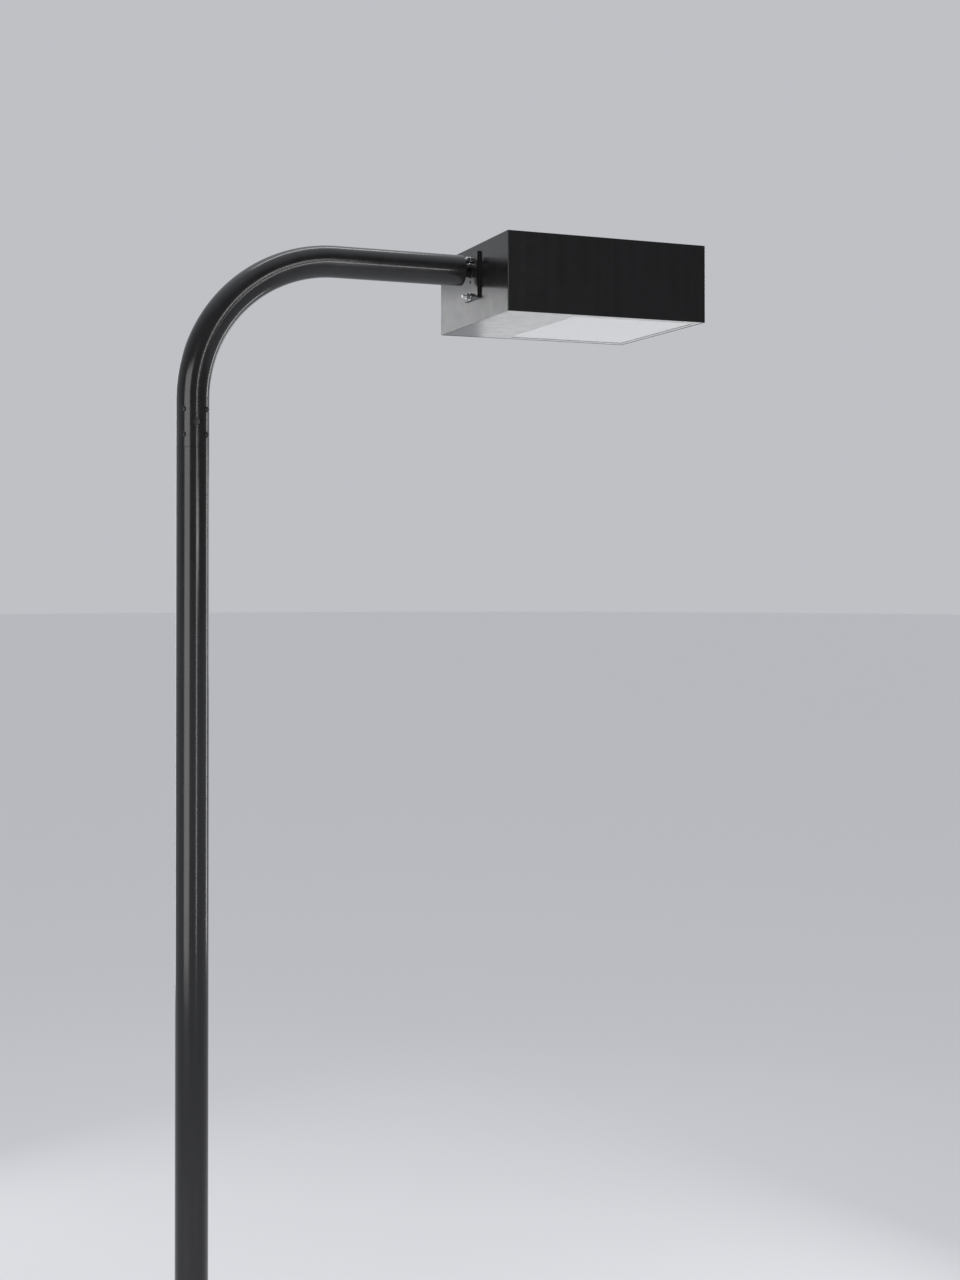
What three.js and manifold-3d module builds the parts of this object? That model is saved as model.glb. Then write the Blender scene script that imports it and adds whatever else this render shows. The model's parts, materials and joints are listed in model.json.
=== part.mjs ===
// Street lamp post: a round steel shaft on a bolted base flange, a bent davit arm
// sleeved onto a tenon, and a box luminaire with a hinged lens door.
//
// Frame: millimetres, +Z up, +X along the arm. The origin is on the shaft's axis,
// on the underside of the base flange.

import * as THREE from "three";
import { mergeVertices } from "three/addons/utils/BufferGeometryUtils.js";
import Module from "manifold-3d";

// ---------------------------------------------------------------- driving dimensions

const GAP = 0.3; // kept between pieces that touch
const INCH = 25.4;

// Shaft and arm share one tube size.
const TUBE_R = 2 * INCH;
const TUBE_WALL = 4.6;
const TUBE_BORE_R = TUBE_R - TUBE_WALL;
const SHAFT_TOP = 144 * INCH; // the seam between the shaft and the arm
const SEAM_GAP = 1.2; // left for sealant between the shaft's end and the arm's
const TUBE_SIDES = 24;

// Base flange, anchor studs and base cover.
const FLANGE_SIZE = 10 * INCH;
const FLANGE_T = 0.75 * INCH;
const FLANGE_CORNER_R = 12;
const ANCHOR_CIRCLE = 8.5 * INCH;
const ANCHOR_R = 9.5;
const ANCHOR_HOLE_R = 11.5;
const ANCHOR_TOP = 58;
const ANCHOR_CHAMFER = 1.5;
const ANCHOR_NUT_FLATS = 28.6;
const ANCHOR_NUT_T = 18;
const ANCHOR_WASHER_R = 18.5;
const ANCHOR_WASHER_T = 3;
const COVER_SIZE = 320;
const COVER_SKIRT = 48;
const COVER_ROOF = 42;
const COVER_WALL = 2.5;
const COVER_COLLAR_R = 57;
const COVER_COLLAR_H = 14;
const COVER_CLEARANCE = 2; // between the collar and the shaft

// Hand hole, on the -Y side of the shaft.
const HANDHOLE_Z = 18 * INCH;
const HANDHOLE_W = 51;
const HANDHOLE_H = 116;
const HANDHOLE_RIM_W = 42;
const HANDHOLE_RIM_H = 84;
const HANDHOLE_RIM_R = 12;
const HANDHOLE_RIM_DEPTH = 16;
const HANDHOLE_RIM_PROUD = 0.5; // how far the rim stands out of the shaft
const HANDHOLE_COVER_W = 62;
const HANDHOLE_COVER_H = 130;
const HANDHOLE_COVER_R = 14;
const HANDHOLE_COVER_T = 3;
const HANDHOLE_SCREW_Z = 50; // each screw above or below the middle
const HANDHOLE_SCREW_R = 2.5;
const HANDHOLE_SCREW_HEAD_R = 6;
const HANDHOLE_SCREW_L = 18;
const HANDHOLE_SOCKET = 4; // across the flats
const LUG_HALF_W = 11;
const LUG_HALF_H = 16;
const LUG_FACE_Y = 24;
const LUG_WIRE_Y = 33;
const LUG_WIRE_R = 4.5;
const LUG_CLAMP_FLATS = 10;

// Davit arm: up from the seam, round a bend, and out level.
const BEND_R = 18 * INCH;
const ARM_TAIL = 149; // straight stretch from the seam to the bend
const ARM_Z = SHAFT_TOP + ARM_TAIL + BEND_R;
const ARM_END_X = 887;
const BEND_STEPS = 12;

// Joint between the tenon and the arm.
const TENON_R = 45.5;
const TENON_WALL = 6;
const TENON_BELOW = 150;
const TENON_ABOVE = 140;
const JOINT_Z = SHAFT_TOP + 77; // height of the through bolt
const SET_SCREW_ROW = 39; // each row of set screws above or below it
const SET_SCREW_R = 4.76;
const SET_SCREW_HEAD_R = 8.8;
const SET_SCREW_SOCKET = 5.6;
const THROUGH_BOLT_R = 6.35;
const THROUGH_BOLT_HEAD_T = 8;
const THROUGH_BOLT_TIP = 18; // how far the bolt stands out past the tube

// Interface between the arm and the luminaire. REAR_X is the luminaire's rear face.
const REAR_X = 931;
const NECK_R = 21.1;
const NECK_BORE_R = 17;
const END_CAP_T = 4;
const PLATE_T = 6.4;
const PLATE_W = 127;
const PLATE_TOP = 59; // the plate's upper and lower edges, from the arm's axis
const PLATE_BOTTOM = -95;
const PLATE_CORNER_R = 3;
const PLATE_HOLE_R = 5.5; // a spare hole on the plate's centreline
const PLATE_HOLE_Z = -35;
const GASKET_T = 1.5;
const BOLT_ZS = [37, -83]; // on the plate's centreline, above and below the neck
const BOLT_REACH = 37.5; // out of the rear face, short of the arm's end
const BOLT_R = 6;
const BOLT_HOLE_R = 6.6;
const BOLT_HEAD_T = 7.5;
const NUT_FLATS = 19;
const NUT_T = 11;
const WASHER_R = 12;
const WASHER_T = 4.5;

// Luminaire box, measured from its rear face and from the arm's axis.
const BOX_L = 706;
const BOX_W = 604;
const BOX_H = 254;
const BOX_BOTTOM = -172;
const BOX_WALL = 3;
const BOX_CORNER_R = 3;

// Lens door. Heights are above the bottom of the box.
const DOOR_GAP = 3;
const DOOR_LIFT = 0.6;
const DOOR_T = 4;
const FRONT_RIM = 19;
const SIDE_RIM = 33;
const REAR_RIM = 242; // covers the gear compartment
const POCKET = 7; // how far the lens overlaps the rim
const POCKET_WALL = 2.5;
const POCKET_H = 10;
const LENS_GASKET_T = 2;
const LENS_T = 5;
const LENS_CLEARANCE = 0.8; // between the lens and the edge of the opening
const LENS_RECESS = 1;

// Hinges and quarter-turn fasteners of the door.
const HINGE_X = 30;
const HINGE_LIFT = 11;
const HINGE_Y = 190;
const KNUCKLE_R = 5.5;
const PIN_R = 2.5;
const BRACKET_W = 14;
const LUG_W = 8;
const LUG_GAP = 1;
const BRACKET_ARM = 8;
const BRACKET_FOOT_T = 6;
const BRACKET_BACK_T = 4;
const BRACKET_TOP = 62;
const BRACKET_RISE = 30; // of the foot on the rear wall
const LEAF_T = 3;
const LEAF_FRONT = 90;
const LATCH_X = 640;
const LATCH_Y = 287;
const LATCH_HEAD_R = 6.5;
const LATCH_SHANK_R = 3.5;
const LATCH_HEAD_T = 1.9;
const LATCH_CLEARANCE = 0.5;
const LATCH_COLLAR = 2; // wider than the shank
const LATCH_TIP = 25;
const KEEPER_LIFT = 18;
const KEEPER_T = 2;
const KEEPER_W = 44;
const KEEPER_H = 26;
const KEEPER_REACH = 8; // inwards past the stud's axis

// Light engine.
const PAN_FLANGE_LIFT = 22;
const PAN_CEILING_LIFT = 110;
const PAN_T = 2;
const PAN_MARGIN = 4; // the pan's mouth beyond the door's opening
const PAN_FLANGE = 8;
const LEAD_HOLE_R = 9;
const LEAD_HOLE_X = 18; // from the pan's rear
const BOARD_L = 380;
const BOARD_W = 400;
const BOARD_T = 3;
const OPTIC_ROWS = 5;
const OPTIC_PITCH = 70;
const OPTIC_W = 40;
const OPTIC_DROP = 9; // below the board's top
const OPTIC_MARGIN = 20; // from the board's ends
const SINK_L = 320;
const SINK_W = 380;
const SINK_BASE_T = 6;
const SINK_FIN_T = 4;
const SINK_FIN_H = 40;
const SINK_FINS = 13;
const DRIVER_W = 76;
const DRIVER_L = 240;
const DRIVER_H = 46;
const DRIVER_X = 130;
const DRIVER_Y = 130;
const TERMINAL_X = 62;
const TERMINAL_HALF_W = 16;
const TERMINAL_H = 24;
const TERMINAL_BACK_Y = -130;
const TERMINAL_FRONT_Y = -40;
const WAY_YS = [-112, -85, -58];
const WAY_W = 16;
const WAY_HALF_L = 10;
const WAY_DEPTH = 10;

// ---------------------------------------------------------------- materials

const paint = (color, roughness, metalness) =>
  new THREE.MeshStandardMaterial({ color, roughness, metalness });
const BLACK_PAINT = paint(0x1b1b1c, 0.38, 0.35);
const ZINC_STEEL = paint(0xb4b6b8, 0.3, 1.0);
const STAINLESS = paint(0xc9cacb, 0.22, 1.0);
const BLACK_SCREW = paint(0x17171a, 0.45, 0.8);
const RUBBER = paint(0x101010, 0.85, 0.0);
const OPAL = paint(0xe6e6e4, 0.25, 0.0);
const WHITE_PAINT = paint(0xeeeeec, 0.5, 0.0);
const ALUMINIUM = paint(0xa9abad, 0.4, 0.9);
const BOARD = paint(0xe9e9e2, 0.55, 0.0);
const DRIVER_CASE = paint(0xd8d8d6, 0.45, 0.2);
const TERMINAL = paint(0xcfc9b8, 0.6, 0.0);

// ---------------------------------------------------------------- solids

const wasm = await Module();
wasm.setup();

/** A closed three.js geometry as a manifold solid. */
function solid(geometry) {
  const bare = geometry.clone();
  bare.deleteAttribute("normal");
  bare.deleteAttribute("uv");
  const merged = mergeVertices(bare, 1e-4);
  return new wasm.Manifold(
    new wasm.Mesh({
      numProp: 3,
      vertProperties: merged.attributes.position.array,
      triVerts: new Uint32Array(merged.index.array),
    }),
  );
}

/** A manifold solid as a three.js geometry. */
function geometryOf(made) {
  const mesh = made.getMesh();
  const geometry = new THREE.BufferGeometry()
    .setAttribute("position", new THREE.BufferAttribute(mesh.vertProperties, 3))
    .setIndex(new THREE.BufferAttribute(mesh.triVerts, 1));
  geometry.computeVertexNormals();
  return geometry;
}

/** Cuts every tool out of a solid. */
const cut = (from, ...tools) => tools.reduce((rest, tool) => rest.subtract(tool), from);

/** Joins solids that overlap. */
const join = (first, ...others) => others.reduce((sum, other) => sum.add(other), first);

/** A box from its lowest to its highest corner. */
function block(low, high) {
  const size = high.map((value, i) => value - low[i]);
  const centre = high.map((value, i) => (value + low[i]) / 2);
  return solid(new THREE.BoxGeometry(...size).translate(...centre));
}

/** A round bar of radius r from a to b along "x", "y" or "z", with its axis through at. */
function bar(axis, r, a, b, at = [0, 0, 0], sides = 12) {
  const geometry = new THREE.CylinderGeometry(r, r, b - a, sides);
  geometry.translate(0, (a + b) / 2, 0);
  if (axis === "x") geometry.rotateZ(-Math.PI / 2);
  if (axis === "z") geometry.rotateX(Math.PI / 2);
  return solid(geometry.translate(...at));
}

/** A prism of an XY shape, from z = a to z = b. */
function prism(shape, a, b, curveSegments = 4) {
  const geometry = new THREE.ExtrudeGeometry(shape, {
    depth: b - a,
    bevelEnabled: false,
    curveSegments,
  });
  return solid(geometry.translate(0, 0, a));
}

/** A solid of revolution about Z from [radius, height] pairs that start and end on the axis. */
function turned(profile, sides = 12) {
  const points = profile.map(([r, z]) => new THREE.Vector2(r, z));
  return solid(new THREE.LatheGeometry(points, sides).rotateX(Math.PI / 2));
}

/** A rectangle centred on (x, y), with rounded corners. */
function rectangle(width, height, r, x = 0, y = 0, Kind = THREE.Shape) {
  const [left, right] = [x - width / 2, x + width / 2];
  const [low, high] = [y - height / 2, y + height / 2];
  const shape = new Kind();
  shape.moveTo(left + r, low);
  shape.lineTo(right - r, low);
  shape.absarc(right - r, low + r, r, -Math.PI / 2, 0);
  shape.lineTo(right, high - r);
  shape.absarc(right - r, high - r, r, 0, Math.PI / 2);
  shape.lineTo(left + r, high);
  shape.absarc(left + r, high - r, r, Math.PI / 2, Math.PI);
  shape.lineTo(left, low + r);
  shape.absarc(left + r, low + r, r, Math.PI, 1.5 * Math.PI);
  return shape;
}

/** A regular hexagon by the distance across its flats. */
function hexagon(flats) {
  const corner = flats / Math.sqrt(3);
  const shape = new THREE.Shape();
  for (let i = 0; i < 6; i++) {
    const angle = (i * Math.PI) / 3;
    shape[i ? "lineTo" : "moveTo"](corner * Math.cos(angle), corner * Math.sin(angle));
  }
  return shape;
}

/** A hexagonal nut on Z, with its chamfered corners, from z = 0 to z = height. */
function hexNut(flats, height, boreR) {
  const corner = flats / Math.sqrt(3) + 0.01;
  const chamfer = 0.12 * flats;
  const rounding = turned(
    [
      [0, 0],
      [corner - chamfer, 0],
      [corner, 0.5 * chamfer],
      [corner, height - 0.5 * chamfer],
      [corner - chamfer, height],
      [0, height],
    ],
    12,
  );
  return cut(prism(hexagon(flats), 0, height).intersect(rounding), bar("z", boreR, -1, height + 1));
}

/** A hexagonal bolt on Z: its head from z = -headT to 0 and its shank up to z = length. */
function hexBolt(flats, headT, shankR, length) {
  const chamfer = 0.12 * shankR;
  const shank = turned([
    [0, -0.5 * headT],
    [shankR, -0.5 * headT],
    [shankR, length - chamfer],
    [shankR - chamfer, length],
    [0, length],
  ]);
  return join(prism(hexagon(flats), -headT, 0), shank);
}

// A geometry's own Z turned to point along another axis.
const alongMinusX = (made) => made.rotate([0, -90, 0]);
const alongPlusY = (made) => made.rotate([-90, 0, 0]);

/** The piece's node: one named mesh in a group. */
function addPiece(group, name, made, material, position = [0, 0, 0], rotationZ = 0) {
  const mesh = new THREE.Mesh(geometryOf(made), material);
  mesh.name = name;
  mesh.position.set(...position);
  mesh.rotation.z = rotationZ;
  group.add(mesh);
}

// ---------------------------------------------------------------- base

const anchorOffset = (ANCHOR_CIRCLE / 2) * Math.SQRT1_2;
const anchorCorners = [
  [anchorOffset, anchorOffset],
  [-anchorOffset, anchorOffset],
  [-anchorOffset, -anchorOffset],
  [anchorOffset, -anchorOffset],
];

function makeBase() {
  const group = new THREE.Group();

  const plate = prism(rectangle(FLANGE_SIZE, FLANGE_SIZE, FLANGE_CORNER_R), 0, FLANGE_T);
  const socket = bar("z", TUBE_R + GAP, -1, FLANGE_T + 1, [0, 0, 0], TUBE_SIDES);
  const holes = anchorCorners.map(([x, y]) => bar("z", ANCHOR_HOLE_R, -1, FLANGE_T + 1, [x, y, 0]));
  addPiece(group, "base_flange", cut(plate, socket, ...holes), BLACK_PAINT);

  const stud = turned([
    [0, 0],
    [ANCHOR_R, 0],
    [ANCHOR_R, ANCHOR_TOP - ANCHOR_CHAMFER],
    [ANCHOR_R - ANCHOR_CHAMFER, ANCHOR_TOP],
    [0, ANCHOR_TOP],
  ]);
  const washer = cut(
    bar("z", ANCHOR_WASHER_R, 0, ANCHOR_WASHER_T),
    bar("z", ANCHOR_R + GAP, -1, ANCHOR_WASHER_T + 1),
  );
  const nut = join(hexNut(ANCHOR_NUT_FLATS, ANCHOR_NUT_T, ANCHOR_R + GAP), washer);
  anchorCorners.forEach(([x, y], i) => {
    addPiece(group, `anchor_stud_${i + 1}`, stud, ZINC_STEEL, [x, y, 0]);
    addPiece(group, `anchor_nut_${i + 1}`, nut, ZINC_STEEL, [x, y, FLANGE_T + GAP]);
  });
  return group;
}

/** A square frustum between two heights, by the width of its lower and upper edges. */
function frustum(lowWidth, highWidth, low, high) {
  const geometry = new THREE.CylinderGeometry(
    highWidth * Math.SQRT1_2,
    lowWidth * Math.SQRT1_2,
    high - low,
    4,
  );
  geometry.rotateY(Math.PI / 4).rotateX(Math.PI / 2);
  return solid(geometry.translate(0, 0, (low + high) / 2));
}

function makeBaseCover() {
  const group = new THREE.Group();
  const top = COVER_SKIRT + COVER_ROOF;
  const shellAt = (inset) => {
    const half = COVER_SIZE / 2 - inset;
    const skirt = block([-half, -half, inset ? -1 : 0], [half, half, COVER_SKIRT - inset / 2]);
    const ridge = 2 * COVER_COLLAR_R - inset;
    return join(skirt, frustum(2 * half, ridge, COVER_SKIRT - inset / 2 - 0.01, top - inset));
  };
  const collar = bar("z", COVER_COLLAR_R, top - 2 * COVER_WALL, top + COVER_COLLAR_H, [0, 0, 0], TUBE_SIDES);
  const passage = bar(
    "z",
    TUBE_R + COVER_CLEARANCE,
    -1,
    top + COVER_COLLAR_H + 1,
    [0, 0, 0],
    TUBE_SIDES,
  );
  const cover = cut(join(cut(shellAt(0), shellAt(COVER_WALL)), collar), passage);
  addPiece(group, "base_cover", cover, BLACK_PAINT);
  return group;
}

// ---------------------------------------------------------------- shaft and hand hole

/** A slab across the shaft's -Y wall, with the outline of an upright rounded rectangle. */
function handholeSlab(width, height, r) {
  const slab = prism(rectangle(width, height, r), 0.2 * TUBE_R, 1.6 * TUBE_R);
  return slab.rotate([90, 0, 0]).translate([0, 0, HANDHOLE_Z]);
}

const pipe = (outerR, innerR, low, high) =>
  cut(
    bar("z", outerR, low, high, [0, 0, 0], TUBE_SIDES),
    bar("z", innerR, low - 1, high + 1, [0, 0, 0], TUBE_SIDES),
  );

function makeShaft() {
  const group = new THREE.Group();
  const low = HANDHOLE_Z - HANDHOLE_COVER_H;
  const high = HANDHOLE_Z + HANDHOLE_COVER_H;

  const opening = handholeSlab(HANDHOLE_W, HANDHOLE_H, HANDHOLE_W / 2 - 1);
  const tube = pipe(TUBE_R, TUBE_BORE_R, GAP, SHAFT_TOP);
  addPiece(group, "pole_shaft", cut(tube, opening), BLACK_PAINT);

  // The rim lines the opening, and its thick ends take the cover's screws.
  const rimOutline = handholeSlab(HANDHOLE_W - 2 * GAP, HANDHOLE_H - 2 * GAP, HANDHOLE_W / 2 - 2);
  const rimOpening = handholeSlab(HANDHOLE_RIM_W, HANDHOLE_RIM_H, HANDHOLE_RIM_R);
  const rimDepth = pipe(TUBE_R + HANDHOLE_RIM_PROUD, TUBE_R - HANDHOLE_RIM_DEPTH, low, high);
  const screwHole = (r, z) => bar("y", r, -1.6 * TUBE_R, -0.2 * TUBE_R, [0, 0, HANDHOLE_Z + z]);
  const screwHeights = [HANDHOLE_SCREW_Z, -HANDHOLE_SCREW_Z];
  const rimHoles = screwHeights.map((z) => screwHole(HANDHOLE_SCREW_R + GAP, z));
  const rim = cut(rimOutline.intersect(rimDepth), rimOpening, ...rimHoles);
  addPiece(group, "handhole_rim", rim, BLACK_PAINT);

  const coverBack = TUBE_R + 1;
  const coverFace = coverBack + HANDHOLE_COVER_T;
  const coverOutline = handholeSlab(HANDHOLE_COVER_W, HANDHOLE_COVER_H, HANDHOLE_COVER_R);
  const coverHoles = screwHeights.map((z) => screwHole(HANDHOLE_SCREW_R + 3 * GAP, z));
  const sheet = pipe(coverFace, coverBack, low, high);
  addPiece(group, "handhole_cover", cut(coverOutline.intersect(sheet), ...coverHoles), BLACK_PAINT);

  // Button-head screws with a hexagonal socket.
  const head = turned(
    [
      [0, -HANDHOLE_SCREW_L],
      [HANDHOLE_SCREW_R, -HANDHOLE_SCREW_L],
      [HANDHOLE_SCREW_R, 0],
      [HANDHOLE_SCREW_HEAD_R, 0],
      [HANDHOLE_SCREW_HEAD_R, 0.8],
      [4.4, 3],
      [0, 3.4],
    ],
    12,
  );
  const screw = cut(head, prism(hexagon(HANDHOLE_SOCKET), 1.6, 5)).rotate([90, 0, 0]);
  ["upper", "lower"].forEach((row, i) => {
    const at = [0, -coverFace - GAP, HANDHOLE_Z + screwHeights[i]];
    addPiece(group, `handhole_screw_${row}`, screw, BLACK_SCREW, at);
  });

  // Ground lug, on the bore's wall across from the hand hole.
  const lugBlock = block(
    [-LUG_HALF_W, LUG_FACE_Y, HANDHOLE_Z - LUG_HALF_H],
    [LUG_HALF_W, TUBE_R, HANDHOLE_Z + LUG_HALF_H],
  );
  const boreFit = bar("z", TUBE_BORE_R - 2 * GAP, low, high, [0, 0, 0], TUBE_SIDES);
  const wireHole = bar("z", LUG_WIRE_R, low, high, [0, LUG_WIRE_Y, 0]);
  const clamp = prism(hexagon(LUG_CLAMP_FLATS), 0, 8)
    .rotate([90, 0, 0])
    .translate([0, LUG_FACE_Y + 0.5, HANDHOLE_Z]);
  const lug = join(cut(lugBlock.intersect(boreFit), wireHole), clamp);
  addPiece(group, "ground_lug", lug, ZINC_STEEL);
  return group;
}

// ---------------------------------------------------------------- tenon joint and arm

/** The arm's centreline, sampled only at its ends and round its bend. */
class ArmPath extends THREE.Curve {
  getPoint(t) {
    const station = Math.round(t * (BEND_STEPS + 2));
    if (station === 0) return new THREE.Vector3(0, 0, SHAFT_TOP + SEAM_GAP);
    if (station === BEND_STEPS + 2) return new THREE.Vector3(ARM_END_X, 0, ARM_Z);
    const angle = ((station - 1) / BEND_STEPS) * (Math.PI / 2);
    const x = BEND_R * (1 - Math.cos(angle));
    return new THREE.Vector3(x, 0, ARM_Z - BEND_R * (1 - Math.sin(angle)));
  }

  getTangent(t) {
    const station = Math.round(t * (BEND_STEPS + 2));
    const turn = THREE.MathUtils.clamp((station - 1) / BEND_STEPS, 0, 1) * (Math.PI / 2);
    return new THREE.Vector3(Math.sin(turn), 0, Math.cos(turn));
  }

  // The extrusion steps along these stations and not along equal lengths.
  getPointAt(u) {
    return this.getPoint(u);
  }

  getTangentAt(u) {
    return this.getTangent(u);
  }
}

/** A round bar of radius r swept along the arm's centreline. */
function sweptBar(r) {
  const section = new THREE.Shape();
  section.absarc(0, 0, r, 0, 2 * Math.PI);
  return solid(
    new THREE.ExtrudeGeometry(section, {
      steps: BEND_STEPS + 2,
      curveSegments: TUBE_SIDES / 2,
      bevelEnabled: false,
      extrudePath: new ArmPath(),
    }),
  );
}

function makeArm() {
  const group = new THREE.Group();
  const screwAngles = [45, 135, 225, 315];
  const screwRows = [SET_SCREW_ROW, -SET_SCREW_ROW];

  const radialHole = (angle, z) =>
    bar("x", SET_SCREW_R + GAP, 0.6 * TUBE_R, 1.4 * TUBE_R)
      .rotate([0, 0, angle])
      .translate([0, 0, JOINT_Z + z]);
  const screwHoles = screwRows.flatMap((z) => screwAngles.map((angle) => radialHole(angle, z)));
  const boltHole = bar("y", THROUGH_BOLT_R + GAP, -1.6 * TUBE_R, 1.6 * TUBE_R, [0, 0, JOINT_Z]);

  // The bore is cut a little long, so that both ends open cleanly.
  const bore = join(
    sweptBar(TUBE_BORE_R),
    bar("z", TUBE_BORE_R, SHAFT_TOP - 1, SHAFT_TOP + 20, [0, 0, 0], TUBE_SIDES),
    bar("x", TUBE_BORE_R, ARM_END_X - 20, ARM_END_X + 1, [0, 0, ARM_Z], TUBE_SIDES),
  );
  addPiece(group, "davit_arm", cut(sweptBar(TUBE_R), bore, boltHole, ...screwHoles), BLACK_PAINT);

  const tenon = pipe(TENON_R, TENON_R - TENON_WALL, SHAFT_TOP - TENON_BELOW, SHAFT_TOP + TENON_ABOVE);
  addPiece(group, "pole_tenon", cut(tenon, boltHole), BLACK_PAINT);

  // Button-head set screws, made along Z and turned to point outwards.
  const shankLength = TUBE_R - TENON_R - 2 * GAP;
  const screw = turned(
    [
      [0, -shankLength],
      [SET_SCREW_R, -shankLength],
      [SET_SCREW_R, 0],
      [SET_SCREW_HEAD_R, 0],
      [SET_SCREW_HEAD_R, 1.2],
      [7.2, 3.8],
      [4.2, 5],
      [0, 5.2],
    ],
    12,
  );
  const setScrew = cut(screw, prism(hexagon(SET_SCREW_SOCKET), 1.5, 8)).rotate([0, 90, 0]);
  screwRows.forEach((z, row) =>
    screwAngles.forEach((angle, i) => {
      const turn = THREE.MathUtils.degToRad(angle);
      const reach = TUBE_R + GAP;
      const at = [reach * Math.cos(turn), reach * Math.sin(turn), JOINT_Z + z];
      const number = row * screwAngles.length + i + 1;
      addPiece(group, `arm_set_screw_${number}`, setScrew, BLACK_SCREW, at, turn);
    }),
  );

  // Through bolt: its head is on the -Y side and its nut on the +Y side.
  const seat = TUBE_R + 1;
  const throughBolt = alongPlusY(
    hexBolt(NUT_FLATS, THROUGH_BOLT_HEAD_T, THROUGH_BOLT_R, 2 * seat + THROUGH_BOLT_TIP),
  );
  addPiece(group, "arm_through_bolt", throughBolt, BLACK_SCREW, [0, -seat, JOINT_Z]);
  const throughNut = alongPlusY(hexNut(NUT_FLATS, NUT_T, THROUGH_BOLT_R + GAP));
  addPiece(group, "arm_through_nut", throughNut, BLACK_SCREW, [0, seat, JOINT_Z]);
  return group;
}

// ---------------------------------------------------------------- luminaire

// Faces of the stack between the arm and the box, along X from the rear face.
const GASKET_FACE = -GAP - GASKET_T;
const PLATE_FACE = GASKET_FACE - GAP - PLATE_T;

/** Clearance holes along X for the two bolts, one above the neck and one below. */
const boltHoles = BOLT_ZS.map((z) => bar("x", BOLT_HOLE_R, -60, 60, [0, 0, z]));
const wireWay = bar("x", NECK_BORE_R, -60, 60, [0, 0, 0], 20);

function makeHeadMount() {
  const group = new THREE.Group();

  // The neck carries the wires from the arm's end cap through to the plate.
  const capX = ARM_END_X + GAP - REAR_X;
  const neckEnd = PLATE_FACE - GAP;
  const disc = bar("x", TUBE_R - 0.6, capX, capX + END_CAP_T, [0, 0, 0], TUBE_SIDES);
  const stem = bar("x", NECK_R, capX, neckEnd, [0, 0, 0], 20);
  const neckBore = bar("x", NECK_BORE_R, capX - 1, neckEnd + 1, [0, 0, 0], 20);
  addPiece(group, "arm_neck", cut(join(disc, stem), neckBore), BLACK_PAINT);

  const height = PLATE_TOP - PLATE_BOTTOM;
  const middle = (PLATE_TOP + PLATE_BOTTOM) / 2;
  const sheet = (thickness, face) =>
    prism(rectangle(height, PLATE_W, PLATE_CORNER_R, -middle, 0), 0, thickness)
      .rotate([0, 90, 0])
      .translate([face, 0, 0]);
  const spareHole = bar("x", PLATE_HOLE_R, -60, 60, [0, 0, PLATE_HOLE_Z]);
  const plate = cut(sheet(PLATE_T, PLATE_FACE), wireWay, spareHole, ...boltHoles);
  addPiece(group, "mounting_plate", plate, BLACK_PAINT);
  const gasket = cut(sheet(GASKET_T, GASKET_FACE), wireWay, ...boltHoles);
  addPiece(group, "mounting_gasket", gasket, RUBBER);

  // Bolts from inside the box; each nut stands on its washers.
  const seat = BOX_WALL + GAP;
  const boltBore = bar("z", BOLT_R + GAP, -1, NUT_T + WASHER_T + 1);
  const washers = cut(bar("z", WASHER_R, 0, WASHER_T, [0, 0, 0], 20), boltBore);
  const nutOnTop = hexNut(NUT_FLATS, NUT_T, BOLT_R + GAP).translate([0, 0, WASHER_T - 0.01]);
  const nut = alongMinusX(join(washers, nutOnTop));
  const bolt = alongMinusX(hexBolt(NUT_FLATS, BOLT_HEAD_T, BOLT_R, BOLT_REACH + seat));
  BOLT_ZS.forEach((z, i) => {
    addPiece(group, `head_bolt_${i + 1}`, bolt, STAINLESS, [seat, 0, z]);
    addPiece(group, `head_nut_${i + 1}`, nut, STAINLESS, [PLATE_FACE - GAP, 0, z]);
  });
  return group;
}

function makeHousing() {
  const group = new THREE.Group();
  const centre = BOX_L / 2;
  const top = BOX_BOTTOM + BOX_H;
  const outside = prism(rectangle(BOX_L, BOX_W, BOX_CORNER_R, centre), BOX_BOTTOM, top);
  const inside = prism(
    rectangle(BOX_L - 2 * BOX_WALL, BOX_W - 2 * BOX_WALL, 1, centre),
    BOX_BOTTOM - 1,
    top - BOX_WALL,
  );
  addPiece(group, "housing", cut(outside, inside, wireWay, ...boltHoles), BLACK_PAINT);

  // Angle brackets on the side walls that the door's quarter-turn studs lock into.
  const wall = BOX_W / 2 - BOX_WALL - GAP;
  const keeperZ = BOX_BOTTOM + KEEPER_LIFT;
  const [back, front] = [LATCH_X - KEEPER_W / 2, LATCH_X + KEEPER_W / 2];
  const shelf = block([back, LATCH_Y - KEEPER_REACH, keeperZ], [front, wall, keeperZ + KEEPER_T]);
  const web = block([back, wall - KEEPER_T, keeperZ], [front, wall, keeperZ + KEEPER_H]);
  const studHole = bar("z", LATCH_SHANK_R + 0.8, keeperZ - 5, keeperZ + 5, [LATCH_X, LATCH_Y, 0]);
  const keeper = cut(join(shelf, web), studHole);
  addPiece(group, "latch_keeper_left", keeper, ZINC_STEEL);
  addPiece(group, "latch_keeper_right", keeper.mirror([0, 1, 0]), ZINC_STEEL);
  return group;
}

const hingeZ = BOX_BOTTOM + HINGE_LIFT;

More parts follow.
